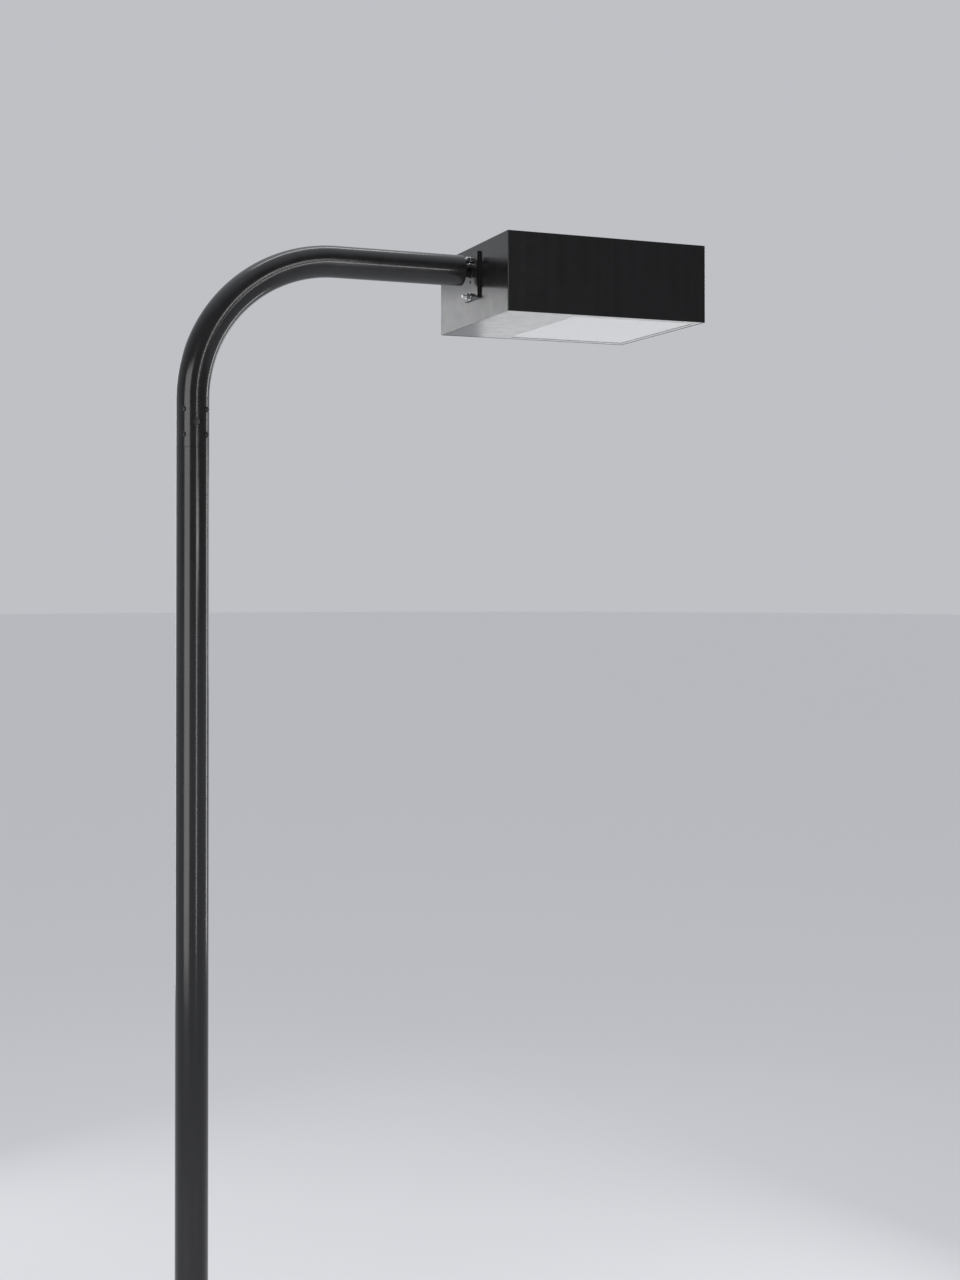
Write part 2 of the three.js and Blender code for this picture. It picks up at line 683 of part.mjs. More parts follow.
function makeHinges() {
  const group = new THREE.Group();
  const wallX = BOX_WALL + GAP;
  const armHalf = BRACKET_ARM / 2;
  const half = BRACKET_W / 2;
  const top = BOX_BOTTOM + BRACKET_TOP;

  // Extruded along Y: a knuckle, an arm up from it, and a foot back to the rear wall.
  const profile = join(
    bar("y", KNUCKLE_R, -half, half, [HINGE_X, 0, hingeZ], 16),
    block([HINGE_X - armHalf, -half, hingeZ], [HINGE_X + armHalf, half, top]),
    block([wallX, -half, top - BRACKET_FOOT_T], [HINGE_X + armHalf, half, top]),
    block([wallX, -half, top - BRACKET_FOOT_T], [wallX + BRACKET_BACK_T, half, top + BRACKET_RISE]),
  );
  const pinHole = bar("y", PIN_R + GAP, -60, 60, [HINGE_X, 0, hingeZ]);
  const bracket = cut(profile, pinHole);
  const pinHalf = half + LUG_GAP + LUG_W + 2;
  const pin = bar("y", PIN_R, -pinHalf, pinHalf, [HINGE_X, 0, hingeZ], 12);
  for (const [side, y] of Object.entries({ left: HINGE_Y, right: -HINGE_Y })) {
    addPiece(group, `hinge_bracket_${side}`, bracket, ZINC_STEEL, [0, y, 0]);
    addPiece(group, `hinge_pin_${side}`, pin, STAINLESS, [0, y, 0]);
  }
  return group;
}

// The door's outline and its opening, in the luminaire's frame.
const doorBack = BOX_WALL + DOOR_GAP;
const doorFront = BOX_L - BOX_WALL - DOOR_GAP;
const doorHalfW = BOX_W / 2 - BOX_WALL - DOOR_GAP;
const doorZ = BOX_BOTTOM + DOOR_LIFT;
const openingBack = doorBack + REAR_RIM;
const openingFront = doorFront - FRONT_RIM;
const openingHalfW = doorHalfW - SIDE_RIM;

/** The door opening's rectangle, grown by a margin on every side. */
const openingGrown = (margin, Kind = THREE.Shape) =>
  rectangle(
    openingFront - openingBack + 2 * margin,
    2 * (openingHalfW + margin),
    3,
    (openingFront + openingBack) / 2,
    0,
    Kind,
  );

/** A flat ring round the opening between two margins. */
function openingRing(inner, outer, low, high) {
  const shape = openingGrown(outer);
  shape.holes.push(openingGrown(inner, THREE.Path));
  return prism(shape, low, high, 3);
}

function makeDoor() {
  const group = new THREE.Group();
  const flangeTop = doorZ + DOOR_T;
  const length = doorFront - doorBack;
  const middle = (doorFront + doorBack) / 2;

  const outline = prism(rectangle(length, 2 * doorHalfW, 3, middle), doorZ, flangeTop, 3);
  const opening = prism(openingGrown(0), doorZ - 1, flangeTop + 1, 3);
  const pocket = openingRing(
    POCKET + GAP,
    POCKET + GAP + POCKET_WALL,
    flangeTop - 1,
    flangeTop + POCKET_H,
  );
  const headLow = doorZ + 0.1;
  const headTop = headLow + LATCH_HEAD_T;
  const recessTop = headTop + GAP;
  const recesses = [-LATCH_Y, LATCH_Y].flatMap((y) => [
    bar("z", LATCH_HEAD_R + LATCH_CLEARANCE, doorZ - 1, recessTop, [LATCH_X, y, 0], 16),
    bar("z", LATCH_SHANK_R + LATCH_CLEARANCE, doorZ - 1, flangeTop + 1, [LATCH_X, y, 0]),
  ]);
  const frame = cut(join(cut(outline, opening), pocket), ...recesses);
  addPiece(group, "door_frame", frame, BLACK_PAINT);

  const gasketZ = flangeTop + GAP;
  const gasket = openingRing(1, POCKET - 1, gasketZ, gasketZ + LENS_GASKET_T);
  addPiece(group, "lens_gasket", gasket, RUBBER);
  // The lens rests on its gasket by a flange and fills the opening almost flush.
  const lensZ = gasketZ + LENS_GASKET_T + GAP;
  const lensFlange = prism(openingGrown(POCKET - 1), lensZ, lensZ + LENS_T, 3);
  const lensFace = prism(openingGrown(-LENS_CLEARANCE), doorZ + LENS_RECESS, lensZ + 1, 3);
  addPiece(group, "lens", join(lensFlange, lensFace), OPAL);

  // Seals the pocket's rim against the pan's flange.
  const sealLow = flangeTop + POCKET_H + GAP;
  const sealHigh = BOX_BOTTOM + PAN_FLANGE_LIFT - GAP;
  addPiece(group, "door_gasket", openingRing(POCKET - 0.5, POCKET + 3.5, sealLow, sealHigh), RUBBER);

  // Each leaf is a foot on the rim with two lugs, either side of the bracket.
  const lugInner = BRACKET_W / 2 + LUG_GAP;
  const leafLow = flangeTop + GAP;
  const lugs = [-1, 1].map((side) => {
    const near = Math.min(side * lugInner, side * (lugInner + LUG_W));
    const knuckle = bar("y", KNUCKLE_R, near, near + LUG_W, [HINGE_X, 0, hingeZ], 16);
    const foot = block(
      [HINGE_X - KNUCKLE_R, near, leafLow],
      [HINGE_X + KNUCKLE_R, near + LUG_W, hingeZ],
    );
    const strap = block([HINGE_X, near, leafLow], [LEAF_FRONT, near + LUG_W, leafLow + LEAF_T]);
    return join(knuckle, foot, strap);
  });
  const bridge = block(
    [HINGE_X + KNUCKLE_R + 4, -lugInner - LUG_W, leafLow],
    [LEAF_FRONT, lugInner + LUG_W, leafLow + LEAF_T],
  );
  const pinHole = bar("y", PIN_R + GAP, -60, 60, [HINGE_X, 0, hingeZ]);
  const leaf = cut(join(...lugs, bridge), pinHole);
  for (const [side, y] of Object.entries({ left: HINGE_Y, right: -HINGE_Y }))
    addPiece(group, `hinge_leaf_${side}`, leaf, ZINC_STEEL, [0, y, 0]);

  // Quarter-turn studs: a slotted flush head, a collar that keeps them in the frame, and a shank.
  const collarLow = flangeTop + GAP;
  const stud = turned(
    [
      [0, headLow],
      [LATCH_HEAD_R, headLow],
      [LATCH_HEAD_R, headTop],
      [LATCH_SHANK_R, headTop],
      [LATCH_SHANK_R, collarLow],
      [LATCH_SHANK_R + LATCH_COLLAR, collarLow],
      [LATCH_SHANK_R + LATCH_COLLAR, collarLow + 1.5],
      [LATCH_SHANK_R, collarLow + 1.5],
      [LATCH_SHANK_R, BOX_BOTTOM + LATCH_TIP - 1.5],
      [LATCH_SHANK_R - 1.5, BOX_BOTTOM + LATCH_TIP],
      [0, BOX_BOTTOM + LATCH_TIP],
    ],
    16,
  );
  const slot = block([-LATCH_HEAD_R + 2, -1, headLow - 1], [LATCH_HEAD_R - 2, 1, headLow + 1.2]);
  for (const [side, y] of Object.entries({ left: LATCH_Y, right: -LATCH_Y }))
    addPiece(group, `latch_stud_${side}`, cut(stud, slot), STAINLESS, [LATCH_X, y, 0]);
  return group;
}

function makeLightEngine() {
  const group = new THREE.Group();
  const flangeZ = BOX_BOTTOM + PAN_FLANGE_LIFT;
  const ceilingZ = BOX_BOTTOM + PAN_CEILING_LIFT;
  const slab = (margin, low, high) => prism(openingGrown(PAN_MARGIN + margin), low, high, 3);

  // White pan: a box open below, with a flange round its mouth.
  const shell = cut(slab(0, flangeZ, ceilingZ), slab(-PAN_T, flangeZ - 1, ceilingZ - PAN_T));
  const flange = cut(
    slab(PAN_FLANGE, flangeZ, flangeZ + PAN_T),
    slab(-0.5, flangeZ - 1, flangeZ + PAN_T + 1),
  );
  const panRear = openingBack - PAN_MARGIN;
  const leadHole = bar("z", LEAD_HOLE_R, ceilingZ - 10, ceilingZ + 10, [panRear + LEAD_HOLE_X, 0, 0]);
  addPiece(group, "reflector_pan", cut(join(shell, flange), leadHole), WHITE_PAINT);

  // Light board under the ceiling: rows of optics on one panel.
  const boardTop = ceilingZ - PAN_T - GAP;
  const boardX = (openingBack + openingFront) / 2;
  const boardBack = boardX - BOARD_L / 2;
  const board = block(
    [boardBack, -BOARD_W / 2, boardTop - BOARD_T],
    [boardBack + BOARD_L, BOARD_W / 2, boardTop],
  );
  const optics = [];
  for (let row = 0; row < OPTIC_ROWS; row++) {
    const y = (row - (OPTIC_ROWS - 1) / 2) * OPTIC_PITCH - OPTIC_W / 2;
    optics.push(
      block(
        [boardBack + OPTIC_MARGIN, y, boardTop - OPTIC_DROP],
        [boardBack + BOARD_L - OPTIC_MARGIN, y + OPTIC_W, boardTop - 2],
      ),
    );
  }
  addPiece(group, "led_board", join(board, ...optics), BOARD);

  // Finned heat sink on the pan.
  const sinkZ = ceilingZ + GAP;
  const sinkBack = boardX - SINK_L / 2;
  const sinkFront = sinkBack + SINK_L;
  const base = block([sinkBack, -SINK_W / 2, sinkZ], [sinkFront, SINK_W / 2, sinkZ + SINK_BASE_T]);
  const fins = [];
  for (let i = 0; i < SINK_FINS; i++) {
    const y = -SINK_W / 2 + (i * (SINK_W - SINK_FIN_T)) / (SINK_FINS - 1);
    const finTop = sinkZ + SINK_BASE_T + SINK_FIN_H;
    fins.push(block([sinkBack, y, sinkZ + 1], [sinkFront, y + SINK_FIN_T, finTop]));
  }
  addPiece(group, "heat_sink", join(base, ...fins), ALUMINIUM);

  // Driver and terminal block, hung from the box's ceiling behind the pan.
  const hungTop = BOX_BOTTOM + BOX_H - BOX_WALL - GAP;
  const driverShape = rectangle(DRIVER_W, DRIVER_L, 6, DRIVER_X, DRIVER_Y);
  addPiece(group, "driver", prism(driverShape, hungTop - DRIVER_H, hungTop, 3), DRIVER_CASE);
  const terminalLow = hungTop - TERMINAL_H;
  const terminalBody = block(
    [TERMINAL_X - TERMINAL_HALF_W, TERMINAL_BACK_Y, terminalLow],
    [TERMINAL_X + TERMINAL_HALF_W, TERMINAL_FRONT_Y, hungTop],
  );
  const ways = WAY_YS.map((y) =>
    block(
      [TERMINAL_X - WAY_HALF_L, y - WAY_W / 2, terminalLow - 1],
      [TERMINAL_X + WAY_HALF_L, y + WAY_W / 2, terminalLow + WAY_DEPTH],
    ),
  );
  addPiece(group, "terminal_block", cut(terminalBody, ...ways), TERMINAL);
  return group;
}

// ---------------------------------------------------------------- assembly

const luminaire = new THREE.Group();
luminaire.position.set(REAR_X, 0, ARM_Z);
luminaire.add(makeHeadMount(), makeHousing(), makeHinges(), makeDoor(), makeLightEngine());

const lampPost = new THREE.Group();
lampPost.add(makeBase(), makeBaseCover(), makeShaft(), makeArm(), luminaire);

export default lampPost;
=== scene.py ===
"""Looks of a street lamp post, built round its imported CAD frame.
Metres, +Z up, +X along the arm."""

import json
import math

import bmesh
import bpy
from mathutils import Matrix, Vector

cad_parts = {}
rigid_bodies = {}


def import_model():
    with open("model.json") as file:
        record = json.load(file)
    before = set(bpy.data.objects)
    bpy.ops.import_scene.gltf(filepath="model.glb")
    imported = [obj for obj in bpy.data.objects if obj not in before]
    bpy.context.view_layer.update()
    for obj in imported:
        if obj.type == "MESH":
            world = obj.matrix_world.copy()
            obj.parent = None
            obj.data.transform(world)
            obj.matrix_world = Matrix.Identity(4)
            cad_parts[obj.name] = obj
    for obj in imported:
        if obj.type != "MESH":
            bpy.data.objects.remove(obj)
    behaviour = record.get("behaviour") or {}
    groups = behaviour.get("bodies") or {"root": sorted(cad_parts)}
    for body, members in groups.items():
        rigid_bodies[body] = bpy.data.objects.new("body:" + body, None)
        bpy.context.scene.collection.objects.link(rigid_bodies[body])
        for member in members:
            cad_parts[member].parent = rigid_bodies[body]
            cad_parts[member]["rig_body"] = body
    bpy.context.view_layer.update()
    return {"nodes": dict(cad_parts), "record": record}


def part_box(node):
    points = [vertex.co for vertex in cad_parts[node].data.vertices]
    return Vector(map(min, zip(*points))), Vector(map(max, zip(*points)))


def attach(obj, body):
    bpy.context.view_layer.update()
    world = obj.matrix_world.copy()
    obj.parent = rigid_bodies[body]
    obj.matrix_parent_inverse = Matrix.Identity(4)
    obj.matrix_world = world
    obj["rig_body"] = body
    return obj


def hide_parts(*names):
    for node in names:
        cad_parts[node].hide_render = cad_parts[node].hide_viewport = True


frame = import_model()
NODES = frame["nodes"]

# ---------------------------------------------------------------- driving dimensions

MM = 0.001
GAP = 0.3 * MM
SAME_POINT = 0.000002  # points nearer to each other than this are joined
SHARP_EDGE = math.radians(32.0)  # an edge that turns by more than this isn't shaded smooth

SHAFT_LOW, SHAFT_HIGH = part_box("pole_shaft")
ARM_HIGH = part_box("davit_arm")[1]
BOX_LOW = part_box("housing")[0]
PLATE_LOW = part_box("mounting_plate")[0]
FLANGE_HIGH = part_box("base_flange")[1]

TUBE_R = SHAFT_HIGH.x
TUBE_WALL = 4.6 * MM
TUBE_EDGE = 0.4 * MM  # rounding of a tube's cut end
TUBE_STEPS = 96
SEAM_Z = SHAFT_HIGH.z
ARM_Z = ARM_HIGH.z - TUBE_R
ARM_END_X = ARM_HIGH.x
BEND_R = 457.2 * MM
BEND_STEPS = 64

# The hand hole: its rim's opening, and the rim's and the cover's shape.
MOUTH_W, MOUTH_H, MOUTH_CORNER = 42 * MM, 84 * MM, 12 * MM
RIM_DEPTH = 16 * MM
RIM_PROUD = 0.5 * MM
RIM_SCREW_HOLE_R = 2.8 * MM
COVER_CORNER = 14 * MM
COVER_EDGE = 0.7 * MM
COVER_STRIPS = 36  # flat strips round its curve

# Fasteners: shank radius, head radius, head height and socket of each button head.
HANDHOLE_SCREW = (2.5 * MM, 6 * MM, 3.4 * MM, 4 * MM)
HANDHOLE_SCREW_L = 18 * MM
SET_SCREW = (4.76 * MM, 8.8 * MM, 5.2 * MM, 5.6 * MM)
SET_SCREW_L = 4.7 * MM
SET_SCREW_HOLE_R = 5 * MM
COLLAR_SCREW = (2.4 * MM, 4.2 * MM, 2.6 * MM, 2.8 * MM)
COLLAR_SCREW_L = 1.5 * MM
COLLAR_R = 57 * MM
COLLAR_SCREW_DROP = 6.5 * MM  # below the collar's top
ANCHOR_R, ANCHOR_PITCH, ANCHOR_THREAD = 9.5 * MM, 2.54 * MM, 40 * MM
ANCHOR_FLATS, ANCHOR_NUT_T = 28.6 * MM, 18 * MM
ANCHOR_WASHER_R, ANCHOR_WASHER_T = 18.5 * MM, 3 * MM
BOLT_FLATS, NUT_T = 19 * MM, 11 * MM  # of the through bolt and the head's bolts
THROUGH_R, THROUGH_PITCH, THROUGH_TIP = 6.35 * MM, 1.6 * MM, 18 * MM
THROUGH_HOLE_R = 6.6 * MM
THROUGH_HEAD_T = 8 * MM
THROUGH_THREAD = 6 * MM  # how far it starts inside the nut's seat
THROUGH_WASHER_R = 12.5 * MM
HEAD_BOLT_R, HEAD_BOLT_PITCH, HEAD_BOLT_HEAD_T = 6 * MM, 1.75 * MM, 7.5 * MM
HEAD_BOLT_SEAT = 3.3 * MM  # from the box's rear face to the underside of the bolt's head
HEAD_BOLT_PLAIN = 8 * MM
HEAD_WASHER_R, HEAD_WASHER_T = 12 * MM, 2 * MM
HEAD_SPRING_R, HEAD_SPRING_T = 10.2 * MM, 2.5 * MM
WASHER_BORE = 6.5 * MM

# The neck between the arm's end cap and the mounting plate.
CAP_T = 4 * MM
CAP_EDGE = 1.5 * MM
CAP_R = TUBE_R - 0.6 * MM
NECK_R, NECK_BORE = 21.1 * MM, 17 * MM

# Weld beads: size and ripples.
FLANGE_BEAD = (4.5 * MM, 60)
CAP_BEAD = (1.3 * MM, 64)
NECK_BEAD_RIPPLES = 30

# The light engine.
OPTIC_STRIPS, OPTIC_STRIP_PITCH = 5, 70 * MM
OPTICS_PER_STRIP, OPTIC_PITCH = 9, 37 * MM
OPTIC_R, OPTIC_FOOT = 12 * MM, 1.2 * MM
TERMINAL_PITCH, TERMINAL_DEPTH, TERMINAL_SCREW_X = 27 * MM, 10 * MM, 4.5 * MM
TAB_L, TAB_W, TAB_CORNER, TAB_T = 30 * MM, 16 * MM, 4 * MM, 1.5 * MM
TAB_OUT, TAB_DROP = 7 * MM, 0.2 * MM  # from the driver's end and its top
TAB_SCREW_OUT, TAB_SCREW_DROP = 9 * MM, 1.7 * MM

# Slotted heads: radius, height and slot.
TERMINAL_SCREW = (3.6 * MM, 2.6 * MM, MM)
TAB_SCREW = (4 * MM, 2.4 * MM, MM)

DOWN = (0, 0, -1)
LYING = Matrix.Rotation(math.pi / 2, 4, "X")  # turns a prism along Y to stand along Z


def middle(node):
    """The centre of a CAD node's box."""
    low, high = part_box(node)
    return (low + high) / 2


# ---------------------------------------------------------------- camera, stage and lights

FLOOR_R = 90.0

# The sky's strength: an axis, where along it the strength changes from and to, and the two
# strengths.
# It is bright behind the object, towards +Y, and overhead, and dim at the camera's back.
SKY_FADES = (("Y", -0.5, 0.7, 0.15, 0.56), ("Z", 0.5, 1.0, 0.0, 0.7))


def add_camera():
    """The eye is 0.94 m below the arm and 5 m in front of the shaft, and looks level."""
    data = bpy.data.cameras.new("camera")
    data.lens = 44.9
    data.sensor_width = 36.0
    data.shift_y = -0.076
    data.clip_end = 200.0
    camera = bpy.data.objects.new("camera", data)
    camera.location = (-1.009, -4.911, ARM_Z - 0.941)
    camera.rotation_euler = (math.radians(90.47), 0.0, math.radians(-21.82))
    bpy.context.scene.collection.objects.link(camera)
    bpy.context.scene.camera = camera


def add_softbox(name, place, aim, width, height, watts):
    """An area light that faces a point. The camera doesn't see it, only its reflection."""
    data = bpy.data.lights.new(name, "AREA")
    data.shape = "RECTANGLE"
    data.size = width
    data.size_y = height
    data.energy = watts
    light = bpy.data.objects.new(name, data)
    light.location = place
    light.rotation_euler = (Vector(aim) - Vector(place)).to_track_quat("-Z", "Y").to_euler()
    light.visible_camera = False
    bpy.context.scene.collection.objects.link(light)


def add_stage():
    """A wide pale floor under a pale sky."""
    bm = bmesh.new()
    bmesh.ops.create_circle(bm, cap_ends=True, segments=96, radius=FLOOR_R)
    mesh = bpy.data.meshes.new("floor")
    bm.to_mesh(mesh)
    bm.free()
    floor = bpy.data.objects.new("floor", mesh)
    bpy.context.scene.collection.objects.link(floor)
    material = bpy.data.materials.new("floor")
    material.use_nodes = True
    shader = material.node_tree.nodes["Principled BSDF"]
    shader.inputs["Base Color"].default_value = (0.8, 0.8, 0.81, 1.0)
    shader.inputs["Roughness"].default_value = 0.9
    mesh.materials.append(material)

    world = bpy.data.worlds.new("studio")
    world.use_nodes = True
    background = world.node_tree.nodes["Background"]
    background.inputs["Color"].default_value = (0.93, 0.95, 1.0, 1.0)
    nodes, links = world.node_tree.nodes, world.node_tree.links
    split = nodes.new("ShaderNodeSeparateXYZ")
    links.new(nodes.new("ShaderNodeTexCoord").outputs["Generated"], split.inputs["Vector"])
    total = nodes.new("ShaderNodeMath")
    for slot, (axis, start, end, low, high) in enumerate(SKY_FADES):
        fade = nodes.new("ShaderNodeMapRange")
        fade.interpolation_type = "SMOOTHSTEP"
        fade.inputs["From Min"].default_value = start
        fade.inputs["From Max"].default_value = end
        fade.inputs["To Min"].default_value = low
        fade.inputs["To Max"].default_value = high
        links.new(split.outputs[axis], fade.inputs["Value"])
        links.new(fade.outputs["Result"], total.inputs[slot])
    links.new(total.outputs["Value"], background.inputs["Strength"])
    bpy.context.scene.world = world
    bpy.context.scene.view_settings.view_transform = "Standard"


def add_lights():
    """Tall softboxes for the streaks on the shaft, and smaller ones for the arm and the luminaire.
    Each row: where it stands, what it faces, width, height and watts."""
    head = Vector((BOX_LOW.x, 0.0, ARM_Z))
    under = Vector((BOX_LOW.x, 0.0, BOX_LOW.z))
    add_softbox("key_left", (-3.05, -2.6, 3.1), (0.0, 0.0, 3.1), 2.7, 4.2, 104)
    add_softbox("fill_right", (1.5, -4.55, 3.1), (0.0, 0.0, 3.1), 0.34, 4.2, 34)
    add_softbox("edge_right", (4.1, 1.2, 3.1), (0.0, 0.0, 3.1), 0.5, 4.0, 38)
    add_softbox("back_left", (-0.75, 4.2, 2.9), (BOX_LOW.x, 0.0, 2.9), 1.1, 4.1, 24)
    add_softbox("arm_streak", (2.2, -4.6, ARM_Z - 0.8), head, 1.3, 0.4, 10)
    add_softbox("under_sweep", (4.43, 5.0, ARM_Z - 1.1), under, 2.8, 1.5, 9.5)
    add_softbox("overhead", (0.6, 1.1, ARM_Z + 3.7), head, 3.2, 0.6, 26)


# ---------------------------------------------------------------- materials


class Shading:
    """A node-based material in the part's own space, built round one Principled shader."""

    def __init__(self, name):
        self.material = bpy.data.materials.new(name)
        self.material.use_nodes = True
        self.tree = self.material.node_tree
        self.shader = self.tree.nodes["Principled BSDF"]
        self.place = self.add("ShaderNodeTexCoord").outputs["Object"]

    def add(self, kind, **settings):
        node = self.tree.nodes.new(kind)
        for key, value in settings.items():
            setattr(node, key, value)
        return node

    def link(self, output, target):
        self.tree.links.new(output, target)

    def fix(self, **sockets):
        """Sets sockets that are the same all over the surface."""
        for key, value in sockets.items():
            self.shader.inputs[key.replace("_", " ")].default_value = value

    def noise(self, scale, detail=3.0, stretch=(1.0, 1.0, 1.0)):
        """Noise with features of about 1 / scale metres, optionally drawn out along an axis."""
        mapping = self.add("ShaderNodeMapping")
        mapping.inputs["Scale"].default_value = stretch
        self.link(self.place, mapping.inputs["Vector"])
        texture = self.add("ShaderNodeTexNoise")
        texture.inputs["Scale"].default_value = scale
        texture.inputs["Detail"].default_value = detail
        self.link(mapping.outputs["Vector"], texture.inputs["Vector"])
        return texture.outputs["Fac"]

    def spread(self, value, low, high, start=0.3, end=0.7):
        """Maps noise onto a range of values."""
        node = self.add("ShaderNodeMapRange")
        node.inputs["From Min"].default_value = start
        node.inputs["From Max"].default_value = end
        node.inputs["To Min"].default_value = low
        node.inputs["To Max"].default_value = high
        self.link(value, node.inputs["Value"])
        return node.outputs["Result"]

    def blend(self, value, first, second):
        """Mixes a colour or an output into a second colour by a value from 0 to 1."""
        node = self.add("ShaderNodeMix", data_type="RGBA")
        colours = [socket for socket in node.inputs if socket.type == "RGBA"]
        self.link(value, node.inputs["Factor"])
        if isinstance(first, bpy.types.NodeSocket):
            self.link(first, colours[0])
        else:
            colours[0].default_value = (*first, 1.0)
        colours[1].default_value = (*second, 1.0)
        return next(socket for socket in node.outputs if socket.type == "RGBA")

    def relief(self, height, depth):
        """Bumps of a depth in metres from a height between 0 and 1."""
        node = self.add("ShaderNodeBump")
        node.inputs["Distance"].default_value = depth
        node.inputs["Strength"].default_value = 1.0
        self.link(height, node.inputs["Height"])
        self.link(node.outputs["Normal"], self.shader.inputs["Normal"])


def coated(name, dark, light, roughness, peel=420.0, depth=0.000006, dust=1.03, **sockets):
    """Powder coat or enamel: faint mottling, rain marks, an orange-peel surface and uneven gloss.
    dust is how much lighter the rain marks are."""
    paint = Shading(name)
    cloud = paint.spread(paint.noise(6.0, 5.0), 0.0, 1.0)
    rain = paint.spread(paint.noise(30.0, 4.0, (1.0, 1.0, 0.04)), 0.0, 1.0, 0.35, 0.8)
    clean = paint.blend(cloud, dark, light)
    dusty = tuple(dust * value for value in light)
    mottled = paint.blend(rain, clean, dusty)
    paint.link(mottled, paint.shader.inputs["Base Color"])
    gloss = paint.spread(paint.noise(24.0, 4.0), roughness[0], roughness[1])
    paint.link(gloss, paint.shader.inputs["Roughness"])
    paint.relief(paint.noise(peel, 2.0), depth)
    paint.fix(**sockets)
    return paint.material


def metal(name, dark, light, roughness, stretch=(1.0, 1.0, 1.0)):
    """Bare or plated metal with fine drawn-out marks and cloudy tarnish."""
    plate = Shading(name)
    cloud = plate.spread(plate.noise(55.0, 5.0), 0.0, 1.0)
    plate.link(plate.blend(cloud, dark, light), plate.shader.inputs["Base Color"])
    marks = plate.noise(900.0, 3.0, stretch)
    plate.link(plate.spread(marks, *roughness), plate.shader.inputs["Roughness"])
    plate.relief(marks, 0.00002)
    plate.fix(Metallic=1.0)
    return plate.material


def grey(value):
    return (value, value, value)


def make_materials():
    """One material for each of the record's slots."""
    return {
        "black_paint": coated(
            "black_paint", grey(0.008), (0.011, 0.011, 0.0115), (0.14, 0.2), dust=1.35
        ),
        "white_paint": coated("white_paint", grey(0.78), (0.83, 0.83, 0.82), (0.38, 0.48)),
        "driver_case": coated("driver_case", grey(0.55), grey(0.62), (0.4, 0.5), Metallic=0.2),
        "led_board": coated("led_board", (0.74, 0.74, 0.71), (0.8, 0.8, 0.77), (0.4, 0.5)),
        "terminal_plastic": coated(
            "terminal_plastic", (0.52, 0.48, 0.4), (0.58, 0.54, 0.46), (0.45, 0.55), peel=900.0
        ),
        "opal_lens": coated(
            "opal_lens",
            grey(0.6),
            (0.61, 0.61, 0.607),
            (0.3, 0.31),
            depth=0.0000006,
            Specular_IOR_Level=0.3,
        ),
        "rubber_seal": coated("rubber_seal", grey(0.012), grey(0.02), (0.6, 0.75), peel=1500.0),
        "black_screw": coated(
            "black_screw", grey(0.012), grey(0.022), (0.3, 0.4), peel=1200.0, Metallic=0.4
        ),
        "zinc_steel": metal("zinc_steel", (0.5, 0.52, 0.56), (0.66, 0.66, 0.64), (0.24, 0.4)),
        "stainless": metal("stainless", grey(0.58), grey(0.7), (0.14, 0.26)),
        "bare_aluminium": metal(
            "bare_aluminium", grey(0.58), grey(0.66), (0.3, 0.42), stretch=(0.05, 1.0, 1.0)
        ),
    }


# ---------------------------------------------------------------- mesh tools


def as_mesh(name, bm):
    """A finished bmesh as a mesh, with its faces pointing out."""
    bmesh.ops.recalc_face_normals(bm, faces=bm.faces)
    mesh = bpy.data.meshes.new(name)
    bm.to_mesh(mesh)
    bm.free()
    return mesh


def add_mesh_piece(name, mesh, slot, body="post", stands_for=(), place=None):
    """Makes a mesh a piece that rides on a body, in one of the record's materials. Several pieces
    can share the mesh."""
    for polygon in mesh.polygons:
        polygon.use_smooth = True
    mesh.set_sharp_from_angle(angle=SHARP_EDGE)
    if not mesh.materials:
        mesh.materials.append(MATERIALS[slot])
    piece = bpy.data.objects.new(name, mesh)
    # Keeps the shading of a flat face flat up to its rounded edges.
    piece.modifiers.new("even_shading", "WEIGHTED_NORMAL").keep_sharp = True
    if place is not None:
        piece.matrix_world = place
    bpy.context.scene.collection.objects.link(piece)
    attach(piece, body)
    if stands_for:
        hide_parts(*stands_for)


def add_piece(name, bm, slot, body="post", stands_for=(), place=None):
    """Makes a bmesh a piece with a mesh of its own."""
    add_mesh_piece(name, as_mesh(name, bm), slot, body, stands_for, place)


def spun(outline, steps=48):
    """A surface round Z. outline(angle) gives its [radius, height] pairs, which close on themselves
    or start and end on the axis."""
    bm = bmesh.new()
    rows = []
    for step in range(steps):
        angle = 2.0 * math.pi * step / steps
        pairs = outline(angle)
        rows.append([bm.verts.new((r * math.cos(angle), r * math.sin(angle), z)) for r, z in pairs])
    on_axis = outline(0.0)[0][0] == 0.0
    count = len(rows[0])
    for step in range(steps):
        here, there = rows[step], rows[(step + 1) % steps]
        for i in range(count - 1 if on_axis else count):
            j = (i + 1) % count
            bm.faces.new((here[i], there[i], there[j], here[j]))
    bmesh.ops.remove_doubles(bm, verts=bm.verts, dist=SAME_POINT)
    return bm


def turned(pairs, steps=48):
    return spun(lambda angle: pairs, steps)


def peg(radius, start, end):
    """A plain round peg on Z, to cut holes with."""
    return turned([(0.0, start), (radius, start), (radius, end), (0.0, end)], 24)


def rounded_corner(centre_r, centre_z, radius, start, end, steps=4):
    """[radius, height] pairs round an arc, by its centre, radius and angles in degrees."""
    pairs = []
    for step in range(steps + 1):
        angle = math.radians(start + (end - start) * step / steps)
        pairs.append((centre_r + radius * math.cos(angle), centre_z + radius * math.sin(angle)))
    return pairs


def merged(*parts):
    """Several bmeshes as one."""
    whole = bmesh.new()
    for part in parts:
        mesh = bpy.data.meshes.new("part")
        part.to_mesh(mesh)
        part.free()
        whole.from_mesh(mesh)
        bpy.data.meshes.remove(mesh)
    return whole


def moved(bm, matrix):
    bmesh.ops.transform(bm, matrix=matrix, verts=bm.verts)
    return bm


